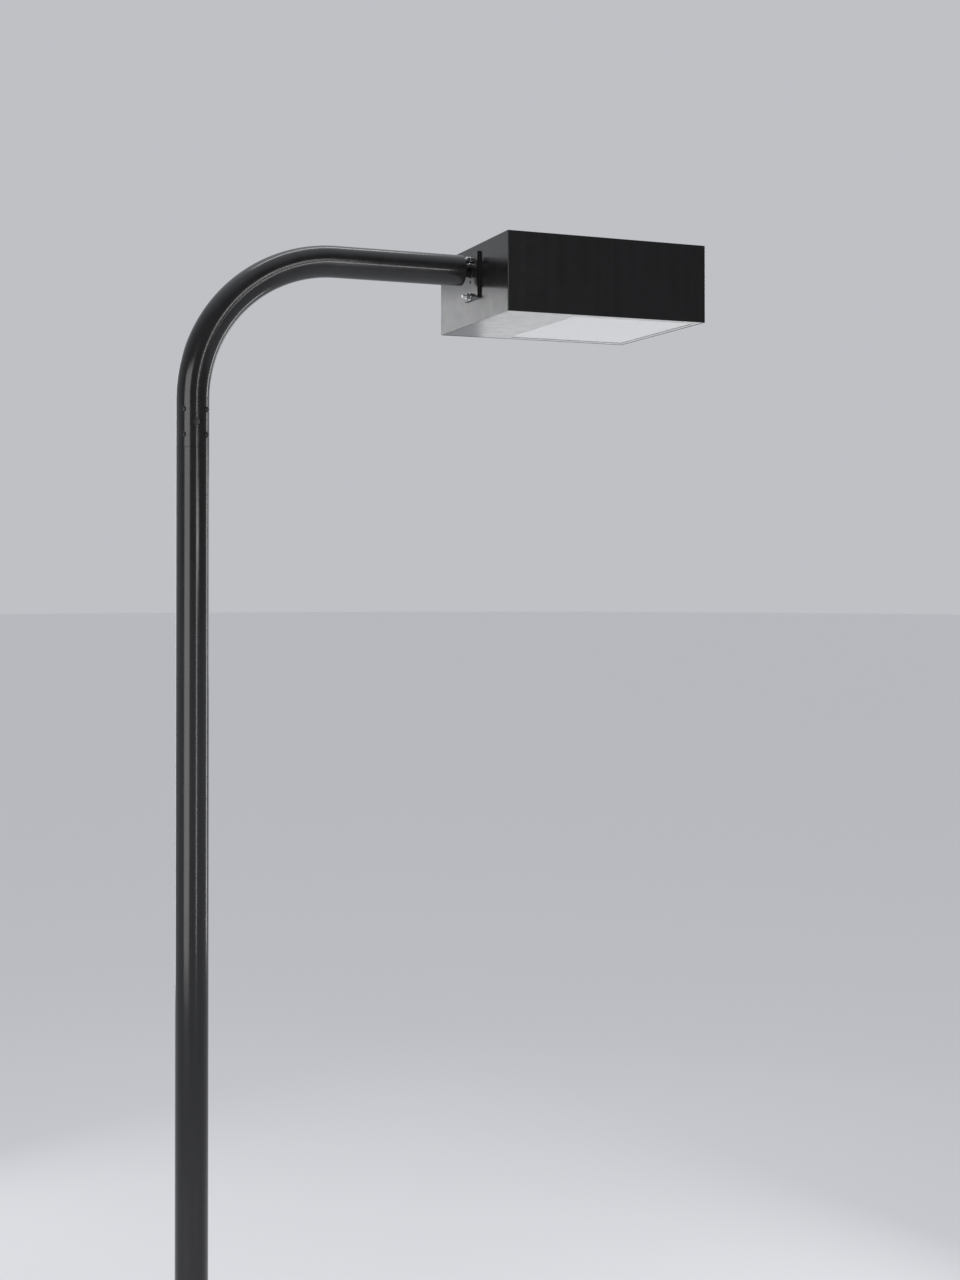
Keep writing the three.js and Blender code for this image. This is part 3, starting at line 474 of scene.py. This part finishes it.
def combined(first, second, operation):
    """A boolean of two closed bmeshes: DIFFERENCE, INTERSECT or UNION."""
    objects = []
    for bm in (first, second):
        bmesh.ops.recalc_face_normals(bm, faces=bm.faces)
        mesh = bpy.data.meshes.new("operand")
        bm.to_mesh(mesh)
        bm.free()
        operand = bpy.data.objects.new("operand", mesh)
        bpy.context.scene.collection.objects.link(operand)
        objects.append(operand)
    modifier = objects[0].modifiers.new("combine", "BOOLEAN")
    modifier.operation = operation
    modifier.solver = "EXACT"
    modifier.object = objects[1]
    bpy.context.view_layer.update()
    evaluated = objects[0].evaluated_get(bpy.context.evaluated_depsgraph_get())
    result = bmesh.new()
    result.from_mesh(evaluated.to_mesh())
    evaluated.to_mesh_clear()
    for operand in objects:
        mesh = operand.data
        bpy.data.objects.remove(operand)
        bpy.data.meshes.remove(mesh)
    bmesh.ops.remove_doubles(result, verts=result.verts, dist=SAME_POINT)
    return result


def rounded_rectangle(width, height, radius, steps=8):
    """The corners of an upright rounded rectangle round the origin, as (x, z) pairs."""
    points = []
    for corner, (sx, sz) in enumerate(((1, -1), (1, 1), (-1, 1), (-1, -1))):
        cx, cz = sx * (width / 2 - radius), sz * (height / 2 - radius)
        for step in range(steps + 1):
            angle = math.radians(-90 + 90 * corner + 90 * step / steps)
            points.append((cx + radius * math.cos(angle), cz + radius * math.sin(angle)))
    return points


def extruded(points, start, end):
    """A prism of (x, z) points along Y."""
    bm = bmesh.new()
    near = [bm.verts.new((x, start, z)) for x, z in points]
    far = [bm.verts.new((x, end, z)) for x, z in points]
    bm.faces.new(near)
    bm.faces.new(list(reversed(far)))
    for i in range(len(points)):
        j = (i + 1) % len(points)
        bm.faces.new((near[j], near[i], far[i], far[j]))
    return bm


def softened(bm, width, segments, angle=35.0):
    """Rounds every edge that turns by more than an angle."""
    edges = [
        edge
        for edge in bm.edges
        if len(edge.link_faces) == 2 and edge.calc_face_angle(0.0) > math.radians(angle)
    ]
    bmesh.ops.bevel(
        bm,
        geom=edges,
        offset=width,
        segments=segments,
        profile=0.5,
        affect="EDGES",
        clamp_overlap=True,
    )
    return bm


def add_eased(node, slot, width, segments):
    """A piece with a CAD node's shape and place, its flat faces joined up and its edges rounded."""
    bm = bmesh.new()
    bm.from_mesh(NODES[node].data)
    bmesh.ops.remove_doubles(bm, verts=bm.verts, dist=0.00001)
    bmesh.ops.dissolve_limit(
        bm,
        angle_limit=math.radians(0.5),
        verts=bm.verts,
        edges=bm.edges,
        use_dissolve_boundaries=False,
    )
    softened(bm, width, segments)
    add_piece(f"{node}_finished", bm, slot, NODES[node]["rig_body"], [node])


def facing(direction, place, roll=0.0):
    """A matrix that turns Z to a direction and moves the origin to a place."""
    turn = Vector(direction).to_track_quat("Z", "Y").to_matrix().to_4x4()
    return Matrix.Translation(place) @ turn @ Matrix.Rotation(roll, 4, "Z")


# ---------------------------------------------------------------- fasteners


def hex_outline(flats, height, bore, flat_share=0.93):
    """Outline of a chamfered hexagon round a bore, or a solid one if the bore is 0."""

    def outline(angle):
        off_corner = (angle + math.pi / 6) % (math.pi / 3) - math.pi / 6
        reach = flats / 2 / math.cos(math.pi / 6 - abs(off_corner))
        flat_r = flat_share * flats / 2
        drop = (reach - flat_r) * math.tan(math.radians(28))
        pairs = [(bore, 0.0), (flat_r, 0.0), (reach, drop), (reach, height - drop)]
        return pairs + [(flat_r, height), (bore, height)]

    return outline


def hex_nut(flats, height, bore):
    return spun(hex_outline(flats, height, bore), 72)


def thread_radius(radius, pitch, angle, height):
    """The radius of a thread's surface at an angle and a height."""
    phase = (height / pitch - angle / (2.0 * math.pi)) % 1.0
    crest = min(1.0, 1.6 * abs(2.0 * phase - 1.0))
    return radius - 0.55 * pitch * (1.0 - crest)


def threaded_rod(radius, pitch, start, end, thread_from):
    """A rod on Z whose upper part is threaded, with a chamfered tip."""
    levels = []
    height = thread_from
    while height < end:
        levels.append(height)
        height += pitch / 6
    chamfer = 0.9 * pitch

    def outline(angle):
        pairs = [(0.0, start), (radius, start), (radius, thread_from - pitch / 6)]
        for level in levels:
            tip = radius - max(0.0, level - (end - chamfer))
            pairs.append((min(tip, thread_radius(radius, pitch, angle, level)), level))
        return pairs + [(radius - chamfer, end), (0.0, end)]

    return spun(outline, 36)


def flat_washer(inner, outer, thickness):
    edge = 0.15 * thickness
    pairs = [(inner, 0.0), (outer - edge, 0.0), (outer, edge), (outer, thickness - edge)]
    return turned(pairs + [(outer - edge, thickness), (inner, thickness)], 56)


def split_washer(inner, outer, thickness):
    """A spring washer, whose cut shows as a narrow notch."""

    def outline(angle):
        reach = inner + 0.2 * (outer - inner) if angle < math.radians(7) else outer
        return [(inner, 0.0), (reach, 0.0), (reach, thickness), (inner, thickness)]

    return spun(outline, 72)


def button_head(sizes, shank_length):
    """A button-head screw on Z with its head's underside at 0, and a hexagonal socket."""
    shank_r, head_r, head_height, socket = sizes
    profile = [(0.0, -shank_length), (shank_r, -shank_length), (shank_r, 0.0), (head_r, 0.0)]
    rim = 0.22 * head_height
    profile.append((head_r, rim))
    steps = 8
    for step in range(1, steps + 1):
        angle = math.pi / 2 * step / steps
        rise = rim + (head_height - rim) * math.sin(angle)
        profile.append((head_r * (0.42 + 0.58 * math.cos(angle)), rise))
    profile.append((0.0, head_height))
    socket_cut = spun(hex_outline(socket, head_height, 0.0, 0.99), 6)
    moved(socket_cut, Matrix.Translation((0.0, 0.0, 0.35 * head_height)))
    return combined(turned(profile, 48), socket_cut, "DIFFERENCE")


def weld_bead(ring_r, height, size, ripples):
    """A rippled fillet weld round Z, at a radius and a height."""

    def outline(angle):
        swell = size * (1.0 + 0.07 * math.sin(ripples * angle) + 0.04 * math.sin(5.3 * angle))
        pairs = []
        for step in range(10):
            turn = 2.0 * math.pi * step / 10
            pairs.append((ring_r + swell * math.cos(turn), height + swell * math.sin(turn)))
        return pairs

    return spun(outline, 6 * ripples)


# ---------------------------------------------------------------- shaft and base


def pipe(outer, inner, low, high):
    """An upright pipe with slightly rounded outer ends."""
    edge = TUBE_EDGE
    pairs = [(inner, low), (outer - edge, low), (outer, low + edge), (outer, high - edge)]
    return turned(pairs + [(outer - edge, high), (inner, high)], TUBE_STEPS)


def make_shaft():
    rim_low, rim_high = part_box("handhole_rim")
    cover_low, cover_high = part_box("handhole_cover")
    centre = (rim_low + rim_high) / 2
    tube = pipe(TUBE_R, TUBE_R - TUBE_WALL, SHAFT_LOW.z, SHAFT_HIGH.z)
    width, height = rim_high.x - rim_low.x, rim_high.z - rim_low.z
    to_middle = Matrix.Translation((0, 0, centre.z))
    far, near = -80 * MM, -10 * MM
    outline = rounded_rectangle(width + 2 * GAP, height + 2 * GAP, width / 2 + GAP - MM)
    opening = moved(extruded(outline, far, near), to_middle)
    tube = combined(tube, opening, "DIFFERENCE")
    add_piece("shaft_tube", tube, "black_paint", "post", ["pole_shaft"])

    # Reinforcing rim, whose ends take the cover's screws.
    over = 10 * MM
    depth = pipe(TUBE_R + RIM_PROUD, TUBE_R - RIM_DEPTH, rim_low.z - over, rim_high.z + over)
    outline = rounded_rectangle(width, height, width / 2 + GAP - 2 * MM)
    rim = combined(depth, moved(extruded(outline, far, near), to_middle), "INTERSECT")
    outline = rounded_rectangle(MOUTH_W, MOUTH_H, MOUTH_CORNER)
    rim = combined(rim, moved(extruded(outline, far - over, 0.0), to_middle), "DIFFERENCE")
    screw_rows = [middle("handhole_screw_upper").z, middle("handhole_screw_lower").z]
    for z in screw_rows:
        hole = peg(RIM_SCREW_HOLE_R, 0.0, 90 * MM)
        moved(hole, facing((0, -1, 0), (0, 0, z)))
        rim = combined(rim, hole, "DIFFERENCE")
    add_piece("handhole_frame", rim, "black_paint", "post", ["handhole_rim"])
    make_handhole_cover(cover_low, cover_high, screw_rows)


def make_handhole_cover(low, high, screw_rows):
    """A curved plate with rounded corners, a rolled edge and two button-head screws."""
    back, face = TUBE_R + MM, -low.y
    half_angle = math.asin(high.x / face)
    width = 2 * half_angle * face
    outline = rounded_rectangle(width, high.z - low.z, COVER_CORNER, 10)
    plate = extruded(outline, back - face, 0.0)
    softened(plate, COVER_EDGE, 3, 60)
    for strip in range(1, COVER_STRIPS):
        x = -width / 2 + width * strip / COVER_STRIPS
        geometry = plate.verts[:] + plate.edges[:] + plate.faces[:]
        bmesh.ops.bisect_plane(plate, geom=geometry, plane_co=(x, 0, 0), plane_no=(1, 0, 0))
    moved(plate, Matrix.Translation((0, 0, (low.z + high.z) / 2)))
    for vert in plate.verts:
        angle = vert.co.x / face
        reach = back - vert.co.y
        vert.co = (reach * math.sin(angle), -reach * math.cos(angle), vert.co.z)
    add_piece("handhole_plate", plate, "black_paint", "handhole_cover", ["handhole_cover"])
    mesh = as_mesh("handhole_screw", button_head(HANDHOLE_SCREW, HANDHOLE_SCREW_L))
    for row, z in zip(("upper", "lower"), screw_rows):
        place = facing((0, -1, 0), (0, -face - GAP, z))
        name, node = f"handhole_fastener_{row}", f"handhole_screw_{row}"
        add_mesh_piece(name, mesh, "black_screw", "handhole_cover", [node], place)


def make_base():
    add_eased("base_flange", "black_paint", 1.5 * MM, 3)
    bead = weld_bead(TUBE_R + 1.5 * MM, FLANGE_HIGH.z + 1.5 * MM, *FLANGE_BEAD)
    add_piece("flange_weld", bead, "black_paint")
    add_eased("base_cover", "black_paint", 1.2 * MM, 3)
    make_cover_screws()

    nut = hex_nut(ANCHOR_FLATS, ANCHOR_NUT_T, ANCHOR_R + GAP)
    washer = flat_washer(ANCHOR_R + GAP, ANCHOR_WASHER_R, ANCHOR_WASHER_T)
    moved(nut, Matrix.Translation((0, 0, ANCHOR_WASHER_T)))
    nut_mesh = as_mesh("anchor_nut", merged(nut, washer))
    for i in range(1, 5):
        low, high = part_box(f"anchor_stud_{i}")
        centre = (low + high) / 2
        rod = threaded_rod(ANCHOR_R, ANCHOR_PITCH, low.z, high.z, high.z - ANCHOR_THREAD)
        place = Matrix.Translation((centre.x, centre.y, 0))
        add_piece(f"anchor_rod_{i}", rod, "zinc_steel", "post", [f"anchor_stud_{i}"], place)
        place = Matrix.Translation((centre.x, centre.y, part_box(f"anchor_nut_{i}")[0].z))
        name = f"anchor_hexagon_{i}"
        add_mesh_piece(name, nut_mesh, "zinc_steel", "post", [f"anchor_nut_{i}"], place)


def make_cover_screws():
    """Two screws in the cover's collar, which hold it down on the shaft."""
    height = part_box("base_cover")[1].z - COLLAR_SCREW_DROP
    for side, direction in (("left", -1), ("right", 1)):
        screw = button_head(COLLAR_SCREW, COLLAR_SCREW_L)
        place = facing((direction, 0, 0), (direction * COLLAR_R, 0, height))
        add_piece(f"cover_screw_{side}", screw, "black_screw", "base_cover", place=place)


# ---------------------------------------------------------------- arm


def arm_stations():
    """Points along the arm's centreline, each with the angle that the arm has turned by."""
    yield Vector((0, 0, SEAM_Z + GAP)), 0.0
    for step in range(BEND_STEPS + 1):
        turn = math.pi / 2 * step / BEND_STEPS
        x = BEND_R * (1 - math.cos(turn))
        yield Vector((x, 0, ARM_Z - BEND_R * (1 - math.sin(turn)))), turn
    yield Vector((ARM_END_X, 0, ARM_Z)), math.pi / 2


def make_arm_tube():
    """The bent tube, with its outer and inner walls and its two end faces."""
    bm = bmesh.new()
    inner = TUBE_R - TUBE_WALL
    stations = list(arm_stations())
    (start, start_turn), (end, end_turn) = stations[0], stations[-1]
    rings = [(start, start_turn, inner), (start, start_turn, TUBE_R - TUBE_EDGE)]
    rings.append((start + Vector((0, 0, TUBE_EDGE)), start_turn, TUBE_R))
    rings += [(point, turn, TUBE_R) for point, turn in stations[1:-1]]
    rings.append((end - Vector((TUBE_EDGE, 0, 0)), end_turn, TUBE_R))
    rings += [(end, end_turn, TUBE_R - TUBE_EDGE), (end, end_turn, inner)]
    rings += [(point, turn, inner) for point, turn in reversed(stations[1:-1])]
    rows = []
    for point, turn, radius in rings:
        outwards = Vector((math.cos(turn), 0, -math.sin(turn)))
        row = []
        for step in range(TUBE_STEPS):
            angle = 2 * math.pi * step / TUBE_STEPS
            spoke = math.cos(angle) * outwards + Vector((0, math.sin(angle), 0))
            row.append(bm.verts.new(point + radius * spoke))
        rows.append(row)
    for i, row in enumerate(rows):
        following = rows[(i + 1) % len(rows)]
        for step in range(TUBE_STEPS):
            j = (step + 1) % TUBE_STEPS
            bm.faces.new((row[step], row[j], following[j], following[step]))
    return bm


def make_arm():
    bolt = middle("arm_through_bolt")
    through_wall = (30 * MM, 70 * MM)
    cutters = []
    screws = []
    for i in range(1, 9):
        centre = middle(f"arm_set_screw_{i}")
        outwards = Vector((centre.x, centre.y, 0)).normalized()
        screws.append((outwards, centre.z))
        hole = peg(SET_SCREW_HOLE_R, *through_wall)
        cutters.append(moved(hole, facing(outwards, (0, 0, centre.z))))
    for side in (-1, 1):
        hole = peg(THROUGH_HOLE_R, *through_wall)
        cutters.append(moved(hole, facing((0, side, 0), (0, 0, bolt.z))))
    tube = combined(make_arm_tube(), merged(*cutters), "DIFFERENCE")
    add_piece("arm_tube", tube, "black_paint", "post", ["davit_arm"])

    mesh = as_mesh("set_screw", button_head(SET_SCREW, SET_SCREW_L))
    for i, (outwards, z) in enumerate(screws, 1):
        place = facing(outwards, outwards * (TUBE_R + GAP) + Vector((0, 0, z)), 0.7 * i)
        name = f"arm_screw_{i}"
        add_mesh_piece(name, mesh, "black_screw", "post", [f"arm_set_screw_{i}"], place)

    seat = TUBE_R + MM
    near, far = (0, -seat, bolt.z), (0, seat, bolt.z)
    head = moved(spun(hex_outline(BOLT_FLATS, THROUGH_HEAD_T, 0.0), 72), facing((0, -1, 0), near))
    washer = moved(flat_washer(WASHER_BORE, THROUGH_WASHER_R, MM), facing((0, 1, 0), near))
    shank = threaded_rod(
        THROUGH_R, THROUGH_PITCH, -seat - MM, seat + THROUGH_TIP, seat - THROUGH_THREAD
    )
    shank = moved(shank, facing((0, 1, 0), (0, 0, bolt.z)))
    through = merged(head, washer, shank)
    add_piece("through_bolt", through, "black_screw", "post", ["arm_through_bolt"])
    nut = moved(hex_nut(BOLT_FLATS, NUT_T, THROUGH_HOLE_R), facing((0, 1, 0), far))
    washer = moved(flat_washer(WASHER_BORE, THROUGH_WASHER_R, MM), facing((0, -1, 0), far))
    add_piece("through_nut", merged(nut, washer), "black_screw", "post", ["arm_through_nut"])


# ---------------------------------------------------------------- luminaire


def make_head_mount():
    neck_low, neck_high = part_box("arm_neck")
    start, end = neck_low.x, neck_high.x
    outline = [(NECK_BORE, 0.0), (CAP_R, 0.0)]
    outline += rounded_corner(CAP_R - CAP_EDGE, CAP_T - CAP_EDGE, CAP_EDGE, 0, 90)
    outline += [(NECK_R, CAP_T), (NECK_R, end - start), (NECK_BORE, end - start)]
    neck = moved(turned(outline, 72), facing((1, 0, 0), (start, 0, ARM_Z)))
    add_piece("neck", neck, "black_paint", "post", ["arm_neck"])
    for name, at, size in (("neck_weld_cap", start + CAP_T, 2.2), ("neck_weld_plate", end, 2.6)):
        bead = weld_bead(NECK_R + 0.8 * MM, 0.0, size * MM, NECK_BEAD_RIPPLES)
        add_piece(name, moved(bead, facing((1, 0, 0), (at, 0, ARM_Z))), "black_paint")
    cap_bead = weld_bead(TUBE_R - 1.6 * MM, 0.0, *CAP_BEAD)
    add_piece("arm_end_weld", moved(cap_bead, facing((1, 0, 0), (start, 0, ARM_Z))), "black_paint")

    add_eased("mounting_plate", "black_paint", 0.5 * MM, 2)
    add_eased("mounting_gasket", "rubber_seal", 0.3 * MM, 1)

    # Each nut's stack, with its offset from the plate: flat washer, spring washer, nut.
    washer = as_mesh("head_washer", flat_washer(WASHER_BORE, HEAD_WASHER_R, HEAD_WASHER_T))
    spring = as_mesh("head_spring_washer", split_washer(WASHER_BORE, HEAD_SPRING_R, HEAD_SPRING_T))
    nut = as_mesh("head_nut", hex_nut(BOLT_FLATS, NUT_T, HEAD_BOLT_R + GAP))
    stack = [("washer", washer, 0.0), ("spring", spring, HEAD_WASHER_T)]
    stack.append(("hexagon", nut, HEAD_WASHER_T + HEAD_SPRING_T))
    for i in range(1, 3):
        low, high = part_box(f"head_bolt_{i}")
        y, z = (low.y + high.y) / 2, (low.z + high.z) / 2
        seat = BOX_LOW.x + HEAD_BOLT_SEAT
        head = spun(hex_outline(BOLT_FLATS, HEAD_BOLT_HEAD_T, 0.0), 72)
        moved(head, facing((1, 0, 0), (seat, y, z)))
        rod = threaded_rod(HEAD_BOLT_R, HEAD_BOLT_PITCH, -MM, seat - low.x, HEAD_BOLT_PLAIN)
        moved(rod, facing((-1, 0, 0), (seat, y, z)))
        add_piece(f"head_stud_{i}", merged(head, rod), "stainless", "post", [f"head_bolt_{i}"])
        for name, mesh, offset in stack:
            place = facing((-1, 0, 0), (PLATE_LOW.x - GAP - offset, y, z), 0.5 * i)
            stands_for = [f"head_nut_{i}"] if name == "hexagon" else []
            add_mesh_piece(f"head_{name}_{i}", mesh, "stainless", "post", stands_for, place)


def make_luminaire():
    add_eased("housing", "black_paint", 1.2 * MM, 3)
    add_eased("door_frame", "black_paint", 0.5 * MM, 2)
    add_eased("lens", "opal_lens", 0.8 * MM, 3)
    for node in ("lens_gasket", "door_gasket"):
        add_eased(node, "rubber_seal", 0.4 * MM, 2)
    for side in ("left", "right"):
        add_eased(f"latch_keeper_{side}", "zinc_steel", 0.4 * MM, 2)
        add_eased(f"hinge_bracket_{side}", "zinc_steel", 0.5 * MM, 2)
        add_eased(f"hinge_leaf_{side}", "zinc_steel", 0.4 * MM, 2)
        add_eased(f"hinge_pin_{side}", "stainless", 0.4 * MM, 2)
        add_eased(f"latch_stud_{side}", "stainless", 0.3 * MM, 2)
    add_eased("reflector_pan", "white_paint", 0.6 * MM, 2)
    add_eased("led_board", "led_board", 0.5 * MM, 2)
    add_eased("heat_sink", "bare_aluminium", 0.4 * MM, 2)
    add_eased("driver", "driver_case", 1.5 * MM, 3)
    add_eased("terminal_block", "terminal_plastic", 0.6 * MM, 2)
    add_eased("ground_lug", "zinc_steel", 0.5 * MM, 2)


def slotted_head(radius, height, slot):
    """A cheese-head screw's head on Z, with its underside at 0 and a slot across its top."""
    edge = 0.15 * height
    outline = [(0.0, 0.0), (radius, 0.0), (radius, height - edge)]
    outline += [(radius - edge, height), (0.0, height)]
    half = slot / 2
    corners = [(-radius, -half), (radius, -half), (radius, half), (-radius, half)]
    cut = extruded(corners, 0.0, height)
    moved(cut, Matrix.Translation((0, 0, 0.55 * height)) @ LYING)
    return combined(turned(outline, 32), cut, "DIFFERENCE")


def make_gear():
    """The light board's optics, and the small fixings inside the box."""
    low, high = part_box("led_board")
    centre = (low + high) / 2
    rim = OPTIC_R + 2 * OPTIC_FOOT
    profile = [(0.0, 0.0), (rim, 0.0), (rim, OPTIC_FOOT), (OPTIC_R, OPTIC_FOOT)]
    profile += rounded_corner(0.0, OPTIC_FOOT, OPTIC_R, 10, 90, 8)[:-1]
    profile.append((0.0, OPTIC_FOOT + OPTIC_R))
    optics = []
    for strip in range(OPTIC_STRIPS):
        y = centre.y + (strip - (OPTIC_STRIPS - 1) / 2) * OPTIC_STRIP_PITCH
        for i in range(OPTICS_PER_STRIP):
            x = centre.x + (i - (OPTICS_PER_STRIP - 1) / 2) * OPTIC_PITCH
            optics.append(moved(turned(profile, 28), facing(DOWN, (x, y, low.z))))
    add_piece("led_optics", merged(*optics), "opal_lens")

    low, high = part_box("terminal_block")
    centre = (low + high) / 2
    heads = []
    for y in (-TERMINAL_PITCH, 0.0, TERMINAL_PITCH):
        for x, roll in ((-TERMINAL_SCREW_X, -0.405), (TERMINAL_SCREW_X, 0.405)):
            place = (centre.x + x, centre.y + y, low.z + TERMINAL_DEPTH)
            heads.append(moved(slotted_head(*TERMINAL_SCREW), facing(DOWN, place, roll)))
    add_piece("terminal_screws", merged(*heads), "zinc_steel")

    low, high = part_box("driver")
    middle_x = (low.x + high.x) / 2
    tabs = []
    for y, outwards in ((low.y, -1), (high.y, 1)):
        tab = extruded(rounded_rectangle(TAB_L, TAB_W, TAB_CORNER), 0.0, TAB_T)
        place = Matrix.Translation((middle_x, y + outwards * TAB_OUT, high.z - TAB_DROP))
        tabs.append(moved(tab, place @ LYING))
        place = (middle_x, y + outwards * TAB_SCREW_OUT, high.z - TAB_SCREW_DROP)
        tabs.append(moved(slotted_head(*TAB_SCREW), facing(DOWN, place, 0.8)))
    add_piece("driver_tabs", merged(*tabs), "zinc_steel")


# ---------------------------------------------------------------- the scene

add_camera()
add_stage()
add_lights()
MATERIALS = make_materials()
for row in frame["record"]["subparts"]:
    NODES[row["node"]].data.materials.clear()
    NODES[row["node"]].data.materials.append(MATERIALS[row["material_slot"]])
make_shaft()
make_base()
make_arm()
make_head_mount()
make_luminaire()
make_gear()
